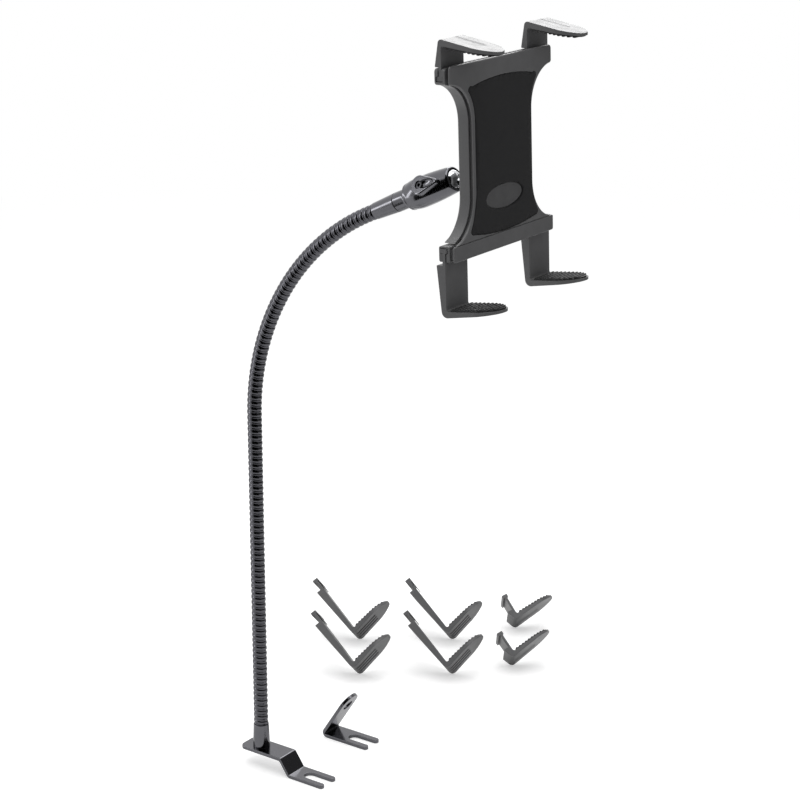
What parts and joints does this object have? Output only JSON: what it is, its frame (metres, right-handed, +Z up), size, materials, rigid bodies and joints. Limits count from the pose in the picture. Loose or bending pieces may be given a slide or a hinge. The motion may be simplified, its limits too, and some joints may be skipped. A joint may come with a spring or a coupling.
{
  "type": "car seat rail tablet mount",
  "caption": "Tablet holder with hooked legs on a ball joint and a long metal gooseneck, whose forked foot clamps under a seat rail bolt; spare legs and bracket beside it.",
  "frame": {"origin": "centre of the fork's round end, on the underside of the foot bracket", "axes": "+X out along the fork and towards the tablet's side of the holder, +Y across the holder, +Z up"},
  "size_m": [0.4585, 0.5097, 0.7082],
  "materials": {
    "black_nickel": "glossy black nickel plating",
    "neck_nickel": "polished dark nickel on wound steel",
    "bright_chrome": "polished chrome ball",
    "black_paint": "satin black",
    "screw_steel": "dark zinc",
    "nylon": "black nylon",
    "grey_plastic": "finely textured grey moulding",
    "grip_rubber": "ribbed black rubber",
    "felt": "black napped felt",
    "badge_plastic": "bare satin oval"
  },
  "bodies": {
    "foot": {"rail_bracket": "black_nickel", "foot_screw": "screw_steel", "lower_ferrule": "black_nickel", "neck_segment_01": "neck_nickel", "spare_bracket": "black_nickel", "spare_long_leg_1": "grey_plastic", "spare_long_leg_1_grip": "grip_rubber", "spare_long_leg_2": "grey_plastic", "spare_long_leg_2_grip": "grip_rubber", "spare_long_leg_3": "grey_plastic", "spare_long_leg_3_grip": "grip_rubber", "spare_long_leg_4": "grey_plastic", "spare_long_leg_4_grip": "grip_rubber", "spare_short_leg_1": "grey_plastic", "spare_short_leg_1_grip": "grip_rubber", "spare_short_leg_2": "grey_plastic", "spare_short_leg_2_grip": "grip_rubber"},
    "neck_2": {"neck_segment_02": "neck_nickel"},
    "neck_3": {"neck_segment_03": "neck_nickel"},
    "neck_4": {"neck_segment_04": "neck_nickel"},
    "neck_5": {"neck_segment_05": "neck_nickel"},
    "neck_6": {"neck_segment_06": "neck_nickel"},
    "neck_7": {"neck_segment_07": "neck_nickel"},
    "neck_8": {"neck_segment_08": "neck_nickel"},
    "neck_9": {"neck_segment_09": "neck_nickel"},
    "neck_10": {"neck_segment_10": "neck_nickel"},
    "neck_11": {"neck_segment_11": "neck_nickel"},
    "neck_12": {"neck_segment_12": "neck_nickel"},
    "neck_13": {"neck_segment_13": "neck_nickel", "upper_ferrule": "black_nickel", "seam_washer": "grip_rubber", "ball_housing": "black_nickel", "pressure_plug": "nylon"},
    "screw": {"tension_screw": "screw_steel"},
    "cup": {"ball_cup": "nylon"},
    "ball": {"ball_stud": "bright_chrome", "retaining_clip": "screw_steel"},
    "holder": {"stud_plate": "black_paint", "plate_screws": "screw_steel", "rear_shell": "grey_plastic", "front_plate": "grey_plastic", "front_pad": "felt", "badge": "badge_plastic", "shell_screws": "screw_steel"},
    "bar": {"lower_bar": "grey_plastic", "bar_cover": "grey_plastic", "slide_guide": "grey_plastic"},
    "upper_left_leg": {"upper_left_leg": "grey_plastic", "upper_left_leg_grip": "grip_rubber"},
    "upper_right_leg": {"upper_right_leg": "grey_plastic", "upper_right_leg_grip": "grip_rubber"},
    "lower_left_leg": {"lower_left_leg": "grey_plastic", "lower_left_leg_grip": "grip_rubber"},
    "lower_right_leg": {"lower_right_leg": "grey_plastic", "lower_right_leg_grip": "grip_rubber"}
  },
  "joints": [
    {"name": "gooseneck_bend", "type": "hinge", "parent": "foot", "child": "neck_2", "pos_m": [-0.0575, 0, 0.08388], "axis": [0, 1, 0], "range_deg": [-8, 8]},
    {"name": "gooseneck_lean", "type": "hinge", "parent": "neck_2", "child": "neck_3", "pos_m": [-0.0575, 0, 0.12726], "axis": [-1, 0, 0], "range_deg": [-8, 8]},
    {"name": "gooseneck_bend_2", "type": "hinge", "parent": "neck_3", "child": "neck_4", "pos_m": [-0.0575, 0, 0.17063], "axis": [0, 1, 0], "range_deg": [-8, 8]},
    {"name": "gooseneck_lean_2", "type": "hinge", "parent": "neck_4", "child": "neck_5", "pos_m": [-0.0575, 0, 0.21401], "axis": [-1, 0, 0], "range_deg": [-8, 8]},
    {"name": "gooseneck_bend_3", "type": "hinge", "parent": "neck_5", "child": "neck_6", "pos_m": [-0.0575, 0, 0.25739], "axis": [0, 1, 0], "range_deg": [-8, 8]},
    {"name": "gooseneck_lean_3", "type": "hinge", "parent": "neck_6", "child": "neck_7", "pos_m": [-0.0575, 0, 0.30077], "axis": [-1, 0, 0], "range_deg": [-8, 8]},
    {"name": "gooseneck_bend_4", "type": "hinge", "parent": "neck_7", "child": "neck_8", "pos_m": [-0.0575, 0, 0.34414], "axis": [0, 1, 0], "range_deg": [-8, 8]},
    {"name": "gooseneck_lean_4", "type": "hinge", "parent": "neck_8", "child": "neck_9", "pos_m": [-0.05333, 0, 0.38725], "axis": [-0.9807, 0, 0.1954], "range_deg": [-8, 8]},
    {"name": "gooseneck_bend_5", "type": "hinge", "parent": "neck_9", "child": "neck_10", "pos_m": [-0.04069, 0, 0.42867], "axis": [0, 1, 0], "range_deg": [-8, 8]},
    {"name": "gooseneck_lean_5", "type": "hinge", "parent": "neck_10", "child": "neck_11", "pos_m": [-0.02028, 0, 0.46687], "axis": [-0.8326, 0, 0.5538], "range_deg": [-8, 8]},
    {"name": "gooseneck_bend_6", "type": "hinge", "parent": "neck_11", "child": "neck_12", "pos_m": [0.00706, 0, 0.50045], "axis": [0, 1, 0], "range_deg": [-8, 8]},
    {"name": "gooseneck_lean_6", "type": "hinge", "parent": "neck_12", "child": "neck_13", "pos_m": [0.04034, 0, 0.52817], "axis": [-0.5631, 0, 0.8264], "range_deg": [-8, 8]},
    {"name": "tension_screw_turn", "type": "hinge", "parent": "neck_13", "child": "screw", "pos_m": [0.12962, -0.01204, 0.57953], "axis": [-0.1853, -0.8988, 0.3973], "range_deg": [-180, 180]},
    {"name": "head_pan", "type": "hinge", "parent": "neck_13", "child": "cup", "pos_m": [0.15259, 0, 0.58375], "axis": [0, 0, 1], "range_deg": [-20, 20]},
    {"name": "head_tilt", "type": "hinge", "parent": "cup", "child": "ball", "pos_m": [0.15259, 0, 0.58375], "axis": [0, 1, 0], "range_deg": [-30, 10]},
    {"name": "head_roll", "type": "hinge", "parent": "ball", "child": "holder", "pos_m": [0.15259, 0, 0.58375], "axis": [0.9993, 0, 0.0384], "range_deg": [-90, 90]},
    {"name": "bar_slide", "type": "slide", "parent": "holder", "child": "bar", "axis": [0.0384, 0, -0.9993], "range_m": [0, 0.025]},
    {"name": "upper_left_leg_slide", "type": "slide", "parent": "holder", "child": "upper_left_leg", "axis": [0, 1, 0], "range_m": [-0.006, 0.03]},
    {"name": "upper_right_leg_slide", "type": "slide", "parent": "holder", "child": "upper_right_leg", "axis": [0, 1, 0], "range_m": [-0.038, 0]},
    {"name": "lower_left_leg_slide", "type": "slide", "parent": "bar", "child": "lower_left_leg", "axis": [0, 1, 0], "range_m": [-0.006, 0.03]},
    {"name": "lower_right_leg_slide", "type": "slide", "parent": "bar", "child": "lower_right_leg", "axis": [0, 1, 0], "range_m": [-0.038, 0]}
  ]
}
